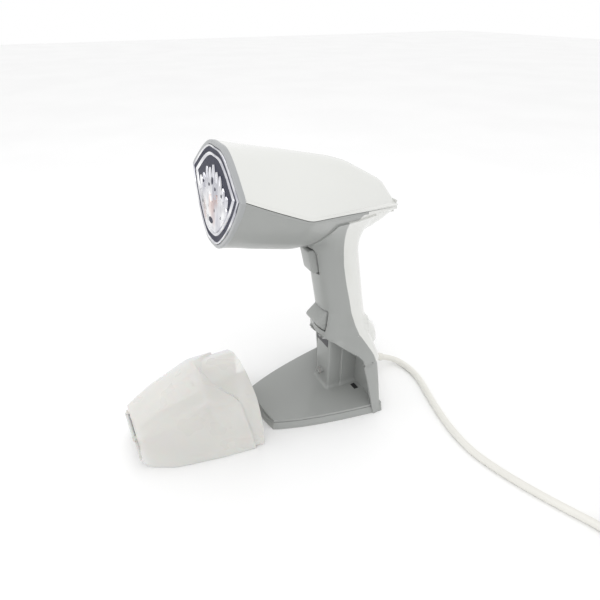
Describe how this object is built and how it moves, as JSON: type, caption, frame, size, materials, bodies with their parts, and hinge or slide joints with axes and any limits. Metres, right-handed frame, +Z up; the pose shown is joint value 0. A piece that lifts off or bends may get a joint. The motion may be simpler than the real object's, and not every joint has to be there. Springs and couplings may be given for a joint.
{
  "type": "garment steamer",
  "caption": "Hand-held garment steamer with a polished nozzle plate, a trigger handle, an arched base and a lift-off clear water tank.",
  "frame": {"origin": "middle of the flat underside of the base, on the ground plane", "axes": "+Z up, the nozzle faces -X, the cord leaves at +X, +Y to the steamer's left seen from behind"},
  "size_m": [0.4192, 0.4084, 0.2837],
  "materials": {
    "white_shell": "glossy",
    "gray_shell": "satin",
    "bezel_gray": "satin",
    "polished_plate": "polished",
    "seal_silicone": "matte",
    "cast_metal": "cast",
    "sheath_metal": "brushed",
    "steel": "bright",
    "brass": "plain",
    "black_plastic": "matte",
    "dark_plastic": "matte",
    "inner_white": "matte",
    "hose_silicone": "satin",
    "winding_copper": "enamelled",
    "board_green": "satin",
    "pad_rubber": "matte",
    "tank_clear": "milky, see-through",
    "flap_clear": "milky, see-through",
    "cord_white": "satin",
    "tie_black": "matte"
  },
  "bodies": {
    "steamer": {"top_cover": "white_shell", "front_shell": "gray_shell", "rear_cover": "white_shell", "nozzle_bezel": "bezel_gray", "steam_plate": "polished_plate", "plate_seal": "seal_silicone", "boiler_block": "cast_metal", "heating_element": "sheath_metal", "boiler_cover": "cast_metal", "thermostat": "steel", "thermal_fuse": "steel", "water_inlet": "brass", "heat_shield": "steel", "base_plate": "gray_shell", "bottom_cover": "dark_plastic", "base_screws": "steel", "base_pads": "pad_rubber", "inlet_spigot": "gray_shell", "spigot_seal": "seal_silicone", "inlet_hose": "hose_silicone", "pump_body": "black_plastic", "pump_coil": "winding_copper", "outlet_hose": "hose_silicone", "micro_switch": "black_plastic", "circuit_board": "board_green", "board_parts": "black_plastic", "cord_clamp": "inner_white", "spring_seat": "inner_white", "trigger_pin": "steel", "trigger_spring": "steel", "button_spring": "steel", "mains_cord": "cord_white", "cord_boot": "cord_white", "cord_coil": "cord_white", "cord_tie": "tie_black", "plug_body": "cord_white", "plug_pins": "brass"},
    "trigger": {"trigger": "gray_shell"},
    "switch_plunger": {"switch_plunger": "dark_plastic"},
    "release_button": {"release_button": "gray_shell"},
    "tank": {"tank_tub": "tank_clear", "tank_hood": "tank_clear", "flap_hinge": "tank_clear", "valve_housing": "tank_clear", "valve_spring": "steel"},
    "filler_flap": {"filler_flap": "flap_clear"},
    "valve_poppet": {"valve_poppet": "seal_silicone"}
  },
  "joints": [
    {"name": "trigger_pull", "type": "hinge", "parent": "steamer", "child": "trigger", "pos_m": [0.0045, 0, 0.1775], "axis": [0, -1, 0], "range_deg": [0, 8], "stiffness_Nm_per_rad": 0.35, "springref_deg": -8.59, "deforming": ["trigger_spring"]},
    {"name": "switch_press", "type": "slide", "parent": "steamer", "child": "switch_plunger", "axis": [1, 0, 0], "range_m": [0, 0.00175]},
    {"name": "button_press", "type": "slide", "parent": "steamer", "child": "release_button", "axis": [1, 0, 0], "range_m": [0, 0.004], "stiffness_N_per_m": 400, "springref_m": -0.004, "deforming": ["button_spring"]},
    {"name": "tank_lift", "type": "slide", "parent": "steamer", "child": "tank", "axis": [0, 0, 1], "range_m": [0, 0.12]},
    {"name": "flap_open", "type": "hinge", "parent": "tank", "child": "filler_flap", "pos_m": [-0.1846, 0.0085, 0.0329], "axis": [0, 1, 0], "range_deg": [0, 100]},
    {"name": "valve_push", "type": "slide", "parent": "tank", "child": "valve_poppet", "axis": [-1, 0, 0], "range_m": [0, 0.0015], "stiffness_N_per_m": 200, "springref_m": -0.003, "deforming": ["valve_spring"]}
  ],
  "couplings": [
    {"joint": "switch_press", "follows": "trigger_pull", "m_per_rad": 0.0125}
  ]
}
